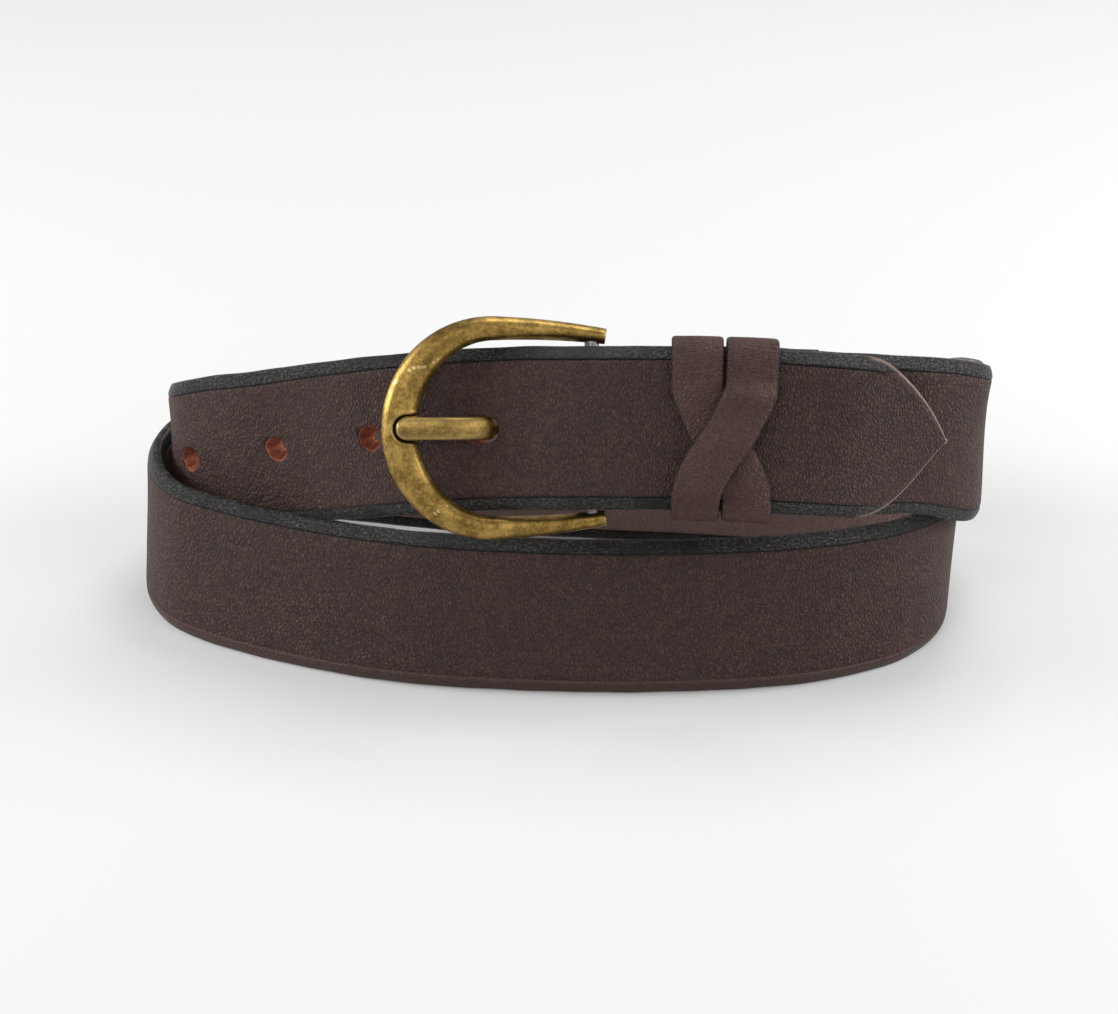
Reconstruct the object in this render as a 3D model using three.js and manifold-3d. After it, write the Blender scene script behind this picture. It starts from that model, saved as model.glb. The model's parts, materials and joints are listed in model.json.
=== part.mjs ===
// A plain leather dress belt, buckled, wound into a double coil and stood on its edge.
// Millimetres, +Z up, standing on Z = 0. The buckle is at the front (-Y), the strap's
// grain side faces out of the coil.
import * as THREE from "three";
import { mergeVertices } from "three/addons/utils/BufferGeometryUtils.js";
import Module from "manifold-3d";

const wasm = await Module();
wasm.setup();

// ---------------------------------------------------------------- driving dimensions
const strapWidth = 35;
const strapThickness = 4;
const bevelWidth = 2.8;
const bevelDepth = 1.4;
const coilWidth = 190; // across the coil, between the strap's middles
const coilDepth = 94;

const foldThickness = 2.4; // the strap is skived where it turns round the bar
const foldSlack = 0.1; // the fold is a little slacker than a running fit on the bar
const skiveEnd = 16; // from the bar, where the strap is full thickness again
const tabMargin = 4; // of the tab past its last row of stitches
const tabSkive = 6; // length of the tab's thinned end
const tabEndShare = 0.6; // of the fold's thickness, at the tab's very end
const tipReach = 76; // from the bar to the billet's point
const tipLength = 18.7;
const tipCurve = 1.8; // the point's fullness; 1 is a straight-sided point
const tipThickness = 1.5;
const tipSkive = 24;
const billetFrom = 35; // before the bar, where the billet starts to rise over the strap's start
const billetOnto = 6; // before the bar, where it lies on it

const holeCount = 5;
const holePitch = 25;
const holeDiameter = 5.4;
const barToHole = 23;

const barDiameter = 3.2;
const barSocket = 2; // depth of the bar's seat in each arm
const frameReach = 41.2; // bar to the middle of the frame's curved end
const armEnd = 2.9; // how far the arms run past the bar
const armWidth = 3.4;
const armRoom = 0.4; // between the strap's edge and each arm
const armLift = 0.3; // of the arms' middle above the bar's
const shoulderWidth = 5.2;
const shoulderRoom = 1.3; // between the strap's edge and the frame at its widest
const frameEndWidth = 7.8;
const frameThickness = 4.6;
const frameClear = 0.1; // between the billet's face and the curved end
const frameBend = 29; // length over which the frame rises from the bar to its curved end

const tongueWidth = 5;
const tongueThickness = 2.6;
const tongueChamfer = 0.9;
const tongueProud = 0.6; // how far the tip passes the middle of the curved end
const tongueSink = 0.35; // of the tongue's middle below the frame's top
const tongueTaper = 0.78; // share of its section left at the tip
const eyeWall = 2.2;
const slotRoom = 5.3; // in the slot's length, for the eye to turn
const slotSlack = 0.2; // on each side of the tongue, past the gap

const keeperWidth = 10.6;
const keeperThickness = 1.8;
const keeperPlace = 28; // from the bar to the middle of the crossing
const strandRoom = 0.35; // half the space left between the strands at the strap's edges
const crossDrop = 3; // of the crossing below the strap's middle

const threadDiameter = 0.9;
const stitchMargin = 4; // from the strap's edge to the first stitch hole
const stitchCount = 7;
const legShare = 0.8; // of the thread's diameter, drawn tight inside the holes
const rowSpace = 1.2; // between a row and the swell of the tab over the keeper
const swellRamp = 3; // length over which the tab swells
const keeperBack = 3; // how far the keeper can creep towards the buckle
const keeperAhead = 1; // and towards the point

const gap = 0.3; // between pieces that touch
const looseGap = 0.45; // round the keeper, which slides
const buckleTurn = 2.5; // degrees that the frame, and then the tongue, can lift

// ---------------------------------------------------------------- worked out
const layer = strapThickness + gap;
const barRadius = barDiameter / 2;
const foldInner = barRadius + gap + foldSlack;
const barLevel = strapThickness / 2 - foldThickness - foldInner;
const armHalf = strapWidth / 2 + armRoom + armWidth / 2;
const frameHalf = strapWidth / 2 + shoulderRoom + shoulderWidth / 2;
const frameLevel = strapThickness / 2 + frameClear + frameThickness / 2;
const eyeRadius = barRadius + gap + eyeWall;
const stitchPitch = (strapWidth - 2 * stitchMargin) / (stitchCount - 1);
const keeperSway = keeperWidth / 2 + strandRoom;
const keeperHalf = keeperSway + keeperWidth / 2;
const swellStart = keeperPlace - keeperHalf - keeperBack;
const swellEnd = keeperPlace + keeperHalf + keeperAhead;
const nearRow = swellStart - swellRamp - rowSpace;
const farRow = swellEnd + swellRamp + rowSpace;
const tabLength = farRow + tabMargin;
const tabLevel = -strapThickness / 2 - gap - foldThickness / 2;
const pocketLevel = tabLevel - keeperThickness - gap;
const billetTop = layer + strapThickness / 2;
const rad = THREE.MathUtils.degToRad;
const smooth = (value, from, to) => THREE.MathUtils.smoothstep(value, from, to);
const mix = THREE.MathUtils.lerp;

// ---------------------------------------------------------------- solids
function solidOf(geometry) {
  const bare = geometry.index ? geometry.toNonIndexed() : geometry.clone();
  bare.deleteAttribute("normal");
  bare.deleteAttribute("uv");
  const merged = mergeVertices(bare, 1e-4);
  const mesh = new wasm.Mesh({
    numProp: 3,
    vertProperties: new Float32Array(merged.attributes.position.array),
    triVerts: new Uint32Array(merged.index.array),
  });
  return new wasm.Manifold(mesh);
}

function geometryOf(solid) {
  const mesh = solid.getMesh();
  const geometry = new THREE.BufferGeometry();
  const points = new THREE.BufferAttribute(new Float32Array(mesh.vertProperties), 3);
  geometry.setAttribute("position", points);
  geometry.setIndex(new THREE.BufferAttribute(new Uint32Array(mesh.triVerts), 1));
  geometry.computeVertexNormals();
  return geometry;
}

// A skin over rings of equal length. Each ring runs anticlockwise seen from the far end.
function loft(rings, closed = false) {
  const count = rings[0].length;
  const points = rings.flat();
  const faces = [];
  const spans = closed ? rings.length : rings.length - 1;
  for (let i = 0; i < spans; i += 1) {
    const here = i * count;
    const next = ((i + 1) % rings.length) * count;
    for (let j = 0; j < count; j += 1) {
      const k = (j + 1) % count;
      faces.push(here + j, here + k, next + k, here + j, next + k, next + j);
    }
  }
  if (!closed) {
    const last = (rings.length - 1) * count;
    for (let j = 1; j < count - 1; j += 1) {
      faces.push(0, j + 1, j, last, last + j, last + j + 1);
    }
  }
  const geometry = new THREE.BufferGeometry().setFromPoints(points);
  geometry.setIndex(faces);
  geometry.computeVertexNormals();
  return geometry;
}

// Section of the strap: a flat edge and a long bevel on both sides of each edge.
function strapSection(half, thickness) {
  const face = thickness / 2;
  const edge = face - Math.min(bevelDepth, thickness * 0.35);
  const flat = half - Math.min(bevelWidth, half * 0.5);
  return [
    [half, edge],
    [flat, face],
    [-flat, face],
    [-half, edge],
    [-half, -edge],
    [-flat, -face],
    [flat, -face],
    [half, -edge],
  ];
}

// ---------------------------------------------------------------- the lay of the coil
// Places along one round-and-round-again path that starts and ends at the buckle's bar.
// x, y: where the face that looks at the other turn runs, for a coil of plain size.
// side: 0.5 when the strap lies outside that line, -0.5 inside.
// lift: height of the bottom edge, in strap widths. lean: top towards the middle, degrees.
const plainWidth = 190;
const plainDepth = 94;
const lay = [
  [7.2, -28.3, -0.5, 1.2, 27],
  [34, -29, -0.5, 1.205, 26],
  [52.5, -29, -0.35, 1.18, 23],
  [68, -26.3, 0, 1.12, 17],
  [81.2, -21.8, 0.25, 1.035, 9],
  [88.9, -14.5, 0.5, 0.88, 3],
  [91.4, -3.2, 0.5, 0.72, 0],
  [91.5, 9, 0.5, 0.55, -2],
  [87.6, 21.5, 0.5, 0.35, -4],
  [77, 34.8, 0.5, 0.18, -7],
  [51.4, 44.1, 0.5, 0.06, -10],
  [15.9, 48, 0.5, 0.012, -10],
  [-23.8, 47, 0.5, 0, -10],
  [-59.2, 40.7, 0.5, 0, -8],
  [-82.6, 26.1, 0.5, 0, -3],
  [-91, 10.8, 0.5, 0, 2],
  [-90.2, -1.9, 0.5, 0, 6],
  [-84.8, -11, 0.5, 0, 9],
  [-75.2, -17.3, 0.5, 0, 12],
  [-55.9, -25.5, 0.5, 0, 13.5],
  [-32.2, -32, 0.5, 0, 14.5],
  [0, -35.4, 0.5, 0, 14],
  [25, -35.6, 0.5, 0, 13.5],
  [49.2, -34, 0.4, 0, 12],
  [64, -32.2, 0, 0, 9],
  [77, -28.2, -0.4, 0, 5],
  [86.3, -19.3, -0.5, 0, 1],
  [89.8, -7.3, -0.5, 0, -2],
  [88.2, 6.3, -0.5, 0, -4],
  [79, 15.6, -0.5, 0, -7],
  [62.5, 22.6, -0.5, 0, -9],
  [37.2, 26.8, -0.5, 0, -10],
  [8, 29.2, -0.5, 0.008, -10],
  [-24.2, 31, -0.5, 0.03, -9],
  [-52.6, 31.2, -0.5, 0.11, -7],
  [-74.3, 27, -0.5, 0.2, -3],
  [-86, 18.9, -0.5, 0.29, 1],
  [-89, 9.8, -0.5, 0.375, 4],
  [-86.2, 1.6, -0.5, 0.5, 8],
  [-75.7, -7, -0.5, 0.675, 10],
  [-61.6, -13.8, -0.5, 0.815, 11],
  [-46.2, -21.7, -0.5, 0.99, 17],
  [-31.2, -26.5, -0.5, 1.125, 25],
  [-12, -28, -0.5, 1.19, 27],
];

const layPoints = lay.map(([x, y, side, lift, lean]) => {
  const px = (x * coilWidth) / plainWidth;
  const py = (y * coilDepth) / plainDepth;
  const away = new THREE.Vector2(px / coilWidth ** 2, py / coilDepth ** 2).normalize();
  const shift = side * strapThickness;
  const edge = strapThickness / 2 - bevelDepth;
  const rise = (strapWidth / 2) * Math.cos(rad(lean)) + edge * Math.sin(rad(Math.abs(lean)));
  return new THREE.Vector3(px + away.x * shift, py + away.y * shift, lift * strapWidth + rise);
});
const layLeans = lay.map((row) => new THREE.Vector3(rad(row[4]), 0, 0));
const layCurve = new THREE.CatmullRomCurve3(layPoints, true, "centripetal");
const leanCurve = new THREE.CatmullRomCurve3(layLeans, true, "catmullrom", 0.5);
const layStep = lay.length * 24;

const laySamples = [];
let layLength = 0;
for (let i = 0; i <= layStep; i += 1) {
  const here = layCurve.getPoint((i % layStep) / layStep);
  const before = layCurve.getPoint(((i + layStep - 1) % layStep) / layStep);
  const after = layCurve.getPoint(((i + 1) % layStep) / layStep);
  const along = after.clone().sub(before).normalize();
  const out = new THREE.Vector3(along.y, -along.x, 0).normalize();
  const rise = new THREE.Vector3().crossVectors(out, along);
  const lean = leanCurve.getPoint((i % layStep) / layStep).x;
  const up = rise.multiplyScalar(Math.cos(lean)).addScaledVector(out, -Math.sin(lean));
  const outward = new THREE.Vector3().crossVectors(along, up);
  if (i > 0) {
    layLength += here.distanceTo(laySamples[i - 1].here);
  }
  laySamples.push({ s: layLength, here, along, up, outward });
}

// The point at distance s along the lay, moved out by n and up by w, with its directions.
function layAt(s) {
  const wrapped = THREE.MathUtils.euclideanModulo(s, layLength);
  let low = 0;
  let high = laySamples.length - 1;
  while (high - low > 1) {
    const middle = (low + high) >> 1;
    if (laySamples[middle].s <= wrapped) {
      low = middle;
    } else {
      high = middle;
    }
  }
  const a = laySamples[low];
  const b = laySamples[high];
  const part = (wrapped - a.s) / (b.s - a.s);
  return {
    here: a.here.clone().lerp(b.here, part),
    along: a.along.clone().lerp(b.along, part).normalize(),
    up: a.up.clone().lerp(b.up, part).normalize(),
    outward: a.outward.clone().lerp(b.outward, part).normalize(),
  };
}

function place(s, n, w) {
  const at = layAt(s);
  return at.here.addScaledVector(at.outward, n).addScaledVector(at.up, w);
}

// ---------------------------------------------------------------- buckle coordinates
// x along the strap, y across it, z out of the coil; the bar's axis is the line x = 0,
// z = barLevel.
const seat = layAt(0);
const buckleMatrix = new THREE.Matrix4()
  .makeBasis(seat.along, seat.up, seat.outward)
  .setPosition(seat.here);

// ---------------------------------------------------------------- tongue
// Route of the tongue: level with the bar behind the billet, up through the hole, then
// out over the frame's curved end. Each row is x and the share of the rise from bar to rest.
const restLevel = frameLevel + frameThickness / 2 - tongueSink;
const tongueTip = frameReach + tongueProud;
const tongueRoute = [
  [0, 0],
  [-8, 0],
  [7.5 - barToHole, 0.034],
  [3.6 - barToHole, 0.183],
  [-0.6 - barToHole, 0.606],
  [-4 - barToHole, 0.834],
  [-8 - barToHole, 0.96],
  [-13 - barToHole, 0.989],
  [-tongueTip, 1],
].map(([x, share]) => new THREE.Vector3(x, 0, mix(barLevel, restLevel, share)));

function tongueSection(half, thick, extra) {
  const y = half + extra;
  const z = thick / 2 + extra;
  return [
    [y, tongueChamfer - z],
    [y - tongueChamfer, -z],
    [tongueChamfer - y, -z],
    [-y, tongueChamfer - z],
    [-y, z - tongueChamfer],
    [tongueChamfer - y, z],
    [y - tongueChamfer, z],
    [y, z - tongueChamfer],
  ];
}

function tongueSolid(extra) {
  const route = new THREE.CatmullRomCurve3(tongueRoute, false, "centripetal");
  const steps = 26;
  const rings = [];
  for (let i = 0; i <= steps; i += 1) {
    const at = route.getPointAt(i / steps);
    const along = route.getTangentAt(i / steps);
    const end = i === steps ? tongueTaper : 1;
    if (i === steps) {
      at.addScaledVector(along, extra);
    }
    const section = tongueSection((tongueWidth / 2) * end, tongueThickness * end, extra);
    rings.push(
      section.map(([y, h]) => new THREE.Vector3(at.x + along.z * h, y, at.z - along.x * h)),
    );
  }
  const outer = eyeRadius + extra;
  const eye = new THREE.CylinderGeometry(outer, outer, tongueWidth + extra * 2, 24);
  eye.translate(0, 0, barLevel);
  return solidOf(loft(rings)).add(solidOf(eye));
}

function turned(solid, degrees) {
  const turn = new THREE.Matrix4()
    .makeTranslation(0, 0, barLevel)
    .multiply(new THREE.Matrix4().makeRotationY(rad(degrees)))
    .multiply(new THREE.Matrix4().makeTranslation(0, 0, -barLevel));
  return solidOf(geometryOf(solid).applyMatrix4(turn));
}

function barHole(radius, half) {
  const drill = new THREE.CylinderGeometry(radius, radius, half * 2, 20);
  drill.translate(0, 0, barLevel);
  return solidOf(drill);
}

const tongue = tongueSolid(0).subtract(barHole(barRadius + gap, tongueWidth));
const tongueRoom = tongueSolid(gap);

// ---------------------------------------------------------------- frame
// D section on a horseshoe path: straightish arms, a round end, square-cut arm ends.
function framePath() {
  const path = [];
  const armSteps = 8;
  const endSteps = 22;
  const endReach = frameHalf * 0.95;
  const shoulder = endReach - frameReach;
  for (let i = 0; i < armSteps; i += 1) {
    const x = mix(armEnd, shoulder, i / armSteps);
    const bow = (x - shoulder) / (armEnd - shoulder);
    const width = mix(shoulderWidth, armWidth, bow);
    path.push({ x, y: mix(frameHalf, armHalf, bow * bow), width });
  }
  for (let i = 0; i <= endSteps; i += 1) {
    const turn = (Math.PI * i) / endSteps;
    const x = shoulder - endReach * Math.sin(turn);
    const width = mix(shoulderWidth, frameEndWidth, Math.sin(turn) ** 1.5);
    path.push({ x, y: frameHalf * Math.cos(turn), width });
  }
  for (let i = armSteps - 1; i >= 0; i -= 1) {
    const { x, y, width } = path[i];
    path.push({ x, y: -y, width });
  }
  return path;
}

function frameSolid() {
  const path = framePath();
  const rings = path.map((at, i) => {
    const before = path[Math.max(i - 1, 0)];
    const after = path[Math.min(i + 1, path.length - 1)];
    const along = new THREE.Vector2(after.x - before.x, after.y - before.y).normalize();
    const level = mix(barLevel + armLift, frameLevel, smooth(-at.x, 0, frameBend));
    const half = at.width / 2;
    const thick = frameThickness / 2;
    const section = [
      [-half, -thick * 0.5],
      [-half * 0.72, -thick],
      [half * 0.72, -thick],
      [half, -thick * 0.5],
      [half, thick * 0.15],
      [half * 0.66, thick * 0.78],
      [half * 0.15, thick],
      [-half * 0.4, thick * 0.92],
      [-half * 0.8, thick * 0.55],
      [-half, thick * 0.05],
    ];
    return section.map(
      ([a, h]) => new THREE.Vector3(at.x - along.y * a, at.y + along.x * a, level + h),
    );
  });
  return solidOf(loft(rings));
}

const barHalf = armHalf - armWidth / 2 + barSocket;
const frame = frameSolid()
  .subtract(barHole(barRadius + gap, barHalf + gap))
  .subtract(tongueRoom)
  .subtract(turned(tongueRoom, buckleTurn / 2))
  .subtract(turned(tongueRoom, buckleTurn));
const bar = barHole(barRadius, barHalf);

// ---------------------------------------------------------------- strap
// How far the billet lies above the lay, which it shares with the strap's own start.
function billetLevel(fromBar) {
  return layer * smooth(fromBar, -billetFrom, -billetOnto);
}

function strapRings() {
  const rings = [];
  const ring = (s, n, turn, half, thickness) => {
    const section = strapSection(half, thickness);
    rings.push(
      section.map(([w, h]) => place(s - Math.sin(turn) * h, n + Math.cos(turn) * h, w)),
    );
  };
  const half = strapWidth / 2;
  // The folded-back tab, from its end to the bar; it bulges over the keeper.
  const foldCentre = foldInner + foldThickness / 2;
  const tabSteps = 30;
  const tabStart = 1.2;
  for (let i = 0; i < tabSteps; i += 1) {
    const s = mix(tabLength, tabStart, i / tabSteps);
    const pocket = smooth(s, swellStart - swellRamp, swellStart)
      * (1 - smooth(s, swellEnd, swellEnd + swellRamp));
    const level = mix(tabLevel, pocketLevel, pocket);
    const n = mix(barLevel - foldCentre, level, smooth(s, 1, nearRow - 1));
    const thinning = mix(tabEndShare, 1, smooth(tabLength - s, 0, tabSkive));
    ring(s, n, Math.PI, half, foldThickness * thinning);
  }
  const foldSteps = 9;
  for (let i = 0; i <= foldSteps; i += 1) {
    const turn = (Math.PI * i) / foldSteps;
    const s = -Math.sin(turn) * foldCentre;
    ring(s, barLevel - Math.cos(turn) * foldCentre, Math.PI - turn, half, foldThickness);
  }
  // Twice round the coil at full thickness, rising onto its own start, to the point.
  const end = layLength + tipReach;
  const ringStep = 4.6;
  const turnStart = 2;
  for (let s = turnStart; s < end - tipLength; s += ringStep) {
    const thickness = Math.min(
      mix(foldThickness, strapThickness, smooth(s, 1, skiveEnd)),
      mix(tipThickness, strapThickness, smooth(end - s, 0, tipSkive)),
    );
    const level = strapThickness / 2 - thickness / 2;
    const billet = billetLevel(s - layLength);
    ring(s, s < layLength / 2 ? level : billet - level, 0, half, thickness);
  }
  const tipSteps = 9;
  const bluntShare = 0.06;
  for (let i = 0; i <= tipSteps; i += 1) {
    const part = i / tipSteps;
    const at = end - tipLength * (1 - part);
    const thickness = mix(tipThickness, strapThickness, smooth(end - at, 0, tipSkive));
    const pointed = Math.max(1 - part ** tipCurve, bluntShare);
    ring(at, layer - strapThickness / 2 + thickness / 2, 0, half * pointed, thickness);
  }
  return rings;
}

// A drill that goes straight through the strap's thickness at (s, w).
function punch(s, w, radius, from, to, sides) {
  const drill = new THREE.CylinderGeometry(radius, radius, to - from, sides);
  const at = layAt(s);
  const turn = new THREE.Matrix4().makeBasis(at.up, at.outward, at.along);
  drill.applyMatrix4(turn);
  const middle = place(s, (from + to) / 2, w);
  drill.translate(middle.x, middle.y, middle.z);
  return solidOf(drill);
}

function stitchPlaces() {
  return Array.from({ length: stitchCount }, (_, i) => (i - (stitchCount - 1) / 2) * stitchPitch);
}

const threadRadius = threadDiameter / 2;
const grooveFloor = strapThickness / 2 - threadDiameter - gap;
const stitchSpan = ((stitchCount - 1) * stitchPitch) / 2 + threadRadius;

function straightBox(s, wide, from, to, half) {
  const box = new THREE.BoxGeometry(wide, half * 2, to - from);
  const at = layAt(s);
  box.applyMatrix4(new THREE.Matrix4().makeBasis(at.along, at.up, at.outward));
  const middle = place(s, (from + to) / 2, 0);
  box.translate(middle.x, middle.y, middle.z);
  return solidOf(box);
}

// The slot that lets the tongue's eye sit on the bar inside the fold.
function foldSlot() {
  const half = tongueWidth / 2 + gap + slotSlack;
  const top = strapThickness / 2 + gap / 2;
  const bottom = pocketLevel - strapThickness;
  const box = new THREE.BoxGeometry(eyeRadius * 2 + slotRoom, half * 2, top - bottom);
  box.translate(0, 0, (top + bottom) / 2);
  return solidOf(box.applyMatrix4(buckleMatrix));
}

function strapSolid() {
  let strap = solidOf(loft(strapRings())).subtract(foldSlot());
  for (let k = 1; k < holeCount; k += 1) {
    const s = layLength - barToHole - k * holePitch;
    strap = strap.subtract(punch(s, 0, holeDiameter / 2, -strapThickness, strapThickness, 16));
  }
  for (const part of [0, 0.5, 1, 1.5, 2]) {
    const room = turned(tongueRoom, part * buckleTurn);
    strap = strap.subtract(solidOf(geometryOf(room).applyMatrix4(buckleMatrix)));
  }
  for (const row of [nearRow, farRow]) {
    const top = strapThickness / 2 + gap / 2;
    strap = strap.subtract(
      straightBox(row, threadDiameter + gap * 2, grooveFloor, top, stitchSpan + gap),
    );
    for (const w of stitchPlaces()) {
      strap = strap.subtract(punch(row, w, threadRadius + gap, pocketLevel - foldThickness, top, 8));
    }
  }
  return strap;
}

// ---------------------------------------------------------------- stitches
// One row of saddle stitches: runs of thread on both faces, joined through the holes.
function stitchRow(row) {
  const front = grooveFloor + gap + threadRadius;
  const back = tabLevel - foldThickness / 2 - gap - threadRadius;
  const bite = 0.1;
  const run = (level) =>
    straightBox(row, threadDiameter, level - threadRadius, level + threadRadius, stitchSpan);
  let solid = run(front).add(run(back));
  for (const w of stitchPlaces()) {
    const leg = punch(row, w, threadRadius * legShare, back - bite, front + bite, 8);
    solid = solid.add(leg);
  }
  return solid;
}

// ---------------------------------------------------------------- keeper
// One narrow strip wound twice round the strap and the billet: its two front runs cross,
// its two back runs lie side by side in the pocket under the tab.
function keeperSolid() {
  const half = keeperThickness / 2;
  const frontLevel = billetTop + looseGap + half;
  const backLevel = -strapThickness / 2 - gap - half;
  const reach = strapWidth / 2 + looseGap + half;
  const middle = (frontLevel + backLevel) / 2;
  const deep = (frontLevel - backLevel) / 2;
  const squareness = 7;
  const round = (value) => Math.sign(value) * Math.abs(value) ** (2 / squareness);
  const liftEnd = strapWidth / 2 - crossDrop - gap;
  const swayHalf = liftEnd - 1.2;
  const crossHalf = swayHalf * 0.8;
  const steps = 44;
  const route = [];
  for (const over of [false, true]) {
    for (let i = 0; i < steps; i += 1) {
      const turn = (2 * Math.PI * i) / steps;
      const w = reach * round(Math.cos(turn));
      const n = middle + deep * round(Math.sin(turn));
      const front = turn < Math.PI;
      const start = over ? 1 : -1;
      const fromCross = w + crossDrop;
      const share = THREE.MathUtils.clamp(fromCross / swayHalf, -1, 1);
      const sway = front ? Math.sin((Math.PI / 2) * share) : -1;
      const s = keeperPlace + keeperSway * sway * start;
      const lifted = over && front ? 1 - smooth(Math.abs(fromCross), crossHalf, liftEnd) : 0;
      route.push(new THREE.Vector3(s, n + lifted * (keeperThickness + gap), w));
    }
  }
  const count = route.length;
  const rings = route.map((at, i) => {
    const before = route[(i + count - 1) % count];
    const after = route[(i + 1) % count];
    const along = after.clone().sub(before).normalize();
    const out = new THREE.Vector3(0, after.z - before.z, before.y - after.y).normalize();
    out.negate();
    out.addScaledVector(along, -out.dot(along)).normalize();
    const across = new THREE.Vector3().crossVectors(out, along);
    const corners = [
      [keeperWidth / 2, -half],
      [-keeperWidth / 2, -half],
      [-keeperWidth / 2, half],
      [keeperWidth / 2, half],
    ];
    return corners.map(([a, h]) => {
      const p = at.clone().addScaledVector(across, a).addScaledVector(out, h);
      return place(p.x, p.y, p.z);
    });
  });
  return solidOf(loft(rings, true));
}

// ---------------------------------------------------------------- scene
const leather = { color: 0x3f302c, roughness: 0.62, metalness: 0 };
const brass = { color: 0x8a6f33, roughness: 0.42, metalness: 1 };
const steel = { color: 0x8d8a84, roughness: 0.4, metalness: 1 };
const thread = { color: 0x2a211e, roughness: 0.8, metalness: 0 };

function piece(name, solid, finish) {
  const mesh = new THREE.Mesh(geometryOf(solid), new THREE.MeshStandardMaterial(finish));
  mesh.name = name;
  return mesh;
}

const buckle = new THREE.Group();
buckle.add(piece("buckle_frame", frame, brass));
buckle.add(piece("buckle_bar", bar, steel));
buckle.add(piece("tongue", tongue, brass));
buckle.applyMatrix4(buckleMatrix);

const belt = new THREE.Group();
belt.add(piece("strap", strapSolid(), leather));
belt.add(buckle);
belt.add(piece("keeper", keeperSolid(), leather));
belt.add(piece("stitch_row_near", stitchRow(nearRow), thread));
belt.add(piece("stitch_row_far", stitchRow(farRow), thread));

// The origin is under the middle of the belt's box, on the surface it stands on.
const box = new THREE.Box3().setFromObject(belt);
const centre = box.getCenter(new THREE.Vector3());
belt.position.set(-centre.x, -centre.y, -box.min.z);

export default belt;
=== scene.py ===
# A plain leather dress belt, buckled and wound into a double coil that stands on its edge.
# Metres, +Z up. The buckle is at the front (-Y).
import json

import bpy
import numpy as np
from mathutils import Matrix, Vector


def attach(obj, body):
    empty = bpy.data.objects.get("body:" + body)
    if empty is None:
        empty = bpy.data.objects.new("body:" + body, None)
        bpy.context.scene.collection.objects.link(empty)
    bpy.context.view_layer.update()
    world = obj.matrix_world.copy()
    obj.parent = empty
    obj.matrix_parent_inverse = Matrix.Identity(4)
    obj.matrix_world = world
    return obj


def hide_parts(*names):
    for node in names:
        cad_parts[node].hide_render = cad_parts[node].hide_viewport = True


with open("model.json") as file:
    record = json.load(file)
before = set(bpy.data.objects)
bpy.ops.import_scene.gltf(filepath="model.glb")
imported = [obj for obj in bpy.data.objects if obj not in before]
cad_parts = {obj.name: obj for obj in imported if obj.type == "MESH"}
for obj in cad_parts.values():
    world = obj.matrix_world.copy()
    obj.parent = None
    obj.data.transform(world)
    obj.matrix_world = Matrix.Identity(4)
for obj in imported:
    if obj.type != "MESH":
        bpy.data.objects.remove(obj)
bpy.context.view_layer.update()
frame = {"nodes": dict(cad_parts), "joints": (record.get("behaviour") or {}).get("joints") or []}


# ------------------------------------------------------------------ camera
# A long lens, 30 degrees above the level, aimed at the middle of the coil.
camera_distance = 0.65
camera_pitch = np.radians(30)
aim = Vector((0.0001, -0.0058, 0.0230))
camera_data = bpy.data.cameras.new("camera")
camera_data.lens = 91.26
camera_data.sensor_width = 36
camera_data.clip_start = 0.01
camera = bpy.data.objects.new("camera", camera_data)
back_off = Vector((0, -np.cos(camera_pitch), np.sin(camera_pitch)))
camera.location = aim + back_off * camera_distance
camera.rotation_euler = (np.pi / 2 - camera_pitch, 0, 0)
bpy.context.scene.collection.objects.link(camera)
bpy.context.scene.camera = camera


# ------------------------------------------------------------------ lights
# Plain studio light: a broad key from the upper left, a weaker fill from the right, one
# behind that catches the top edges, one at either side that brightens the turning ends, and
# an even pale world.
def area_light(name, place, size, power):
    """A square area light at place, turned to face the middle of the coil."""
    data = bpy.data.lights.new(name, "AREA")
    data.size = size
    data.energy = power
    lamp = bpy.data.objects.new(name, data)
    lamp.location = place
    lamp.rotation_euler = (aim - Vector(place)).to_track_quat("-Z", "Y").to_euler()
    bpy.context.scene.collection.objects.link(lamp)


area_light("key_light", (-0.35, -0.75, 0.80), 0.50, 2.6)
area_light("fill_light", (0.60, -0.55, 0.45), 0.50, 1.4)
area_light("top_light", (0.18, 0.38, 0.80), 0.40, 3.2)
area_light("left_light", (-0.75, 0.04, 0.30), 0.30, 5.0)
area_light("right_light", (0.75, 0.06, 0.30), 0.30, 4.6)

world = bpy.data.worlds.new("studio")
world.use_nodes = True
world.node_tree.nodes["Background"].inputs["Color"].default_value = (0.89, 0.89, 0.89, 1)
world.node_tree.nodes["Background"].inputs["Strength"].default_value = 0.54
bpy.context.scene.world = world
bpy.context.scene.view_settings.view_transform = "Standard"


# ------------------------------------------------------------------ floor
# A wide matt sheet of pale paper that the belt stands on.
def mesh_piece(name, points, faces, smooth=True):
    """A mesh object of that name, from an array of points (n, 3) in metres and a list or
    array of faces."""
    mesh = bpy.data.meshes.new(name)
    mesh.from_pydata(np.asarray(points, float).tolist(), [], np.asarray(faces).tolist())
    mesh.update()
    mesh.polygons.foreach_set("use_smooth", np.full(len(mesh.polygons), smooth))
    piece = bpy.data.objects.new(name, mesh)
    bpy.context.scene.collection.objects.link(piece)
    return piece


def new_material(name):
    """An empty node material. Gives the material, its nodes, links and Principled shader."""
    material = bpy.data.materials.new(name)
    material.use_nodes = True
    tree = material.node_tree
    return material, tree.nodes, tree.links, tree.nodes["Principled BSDF"]


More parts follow.
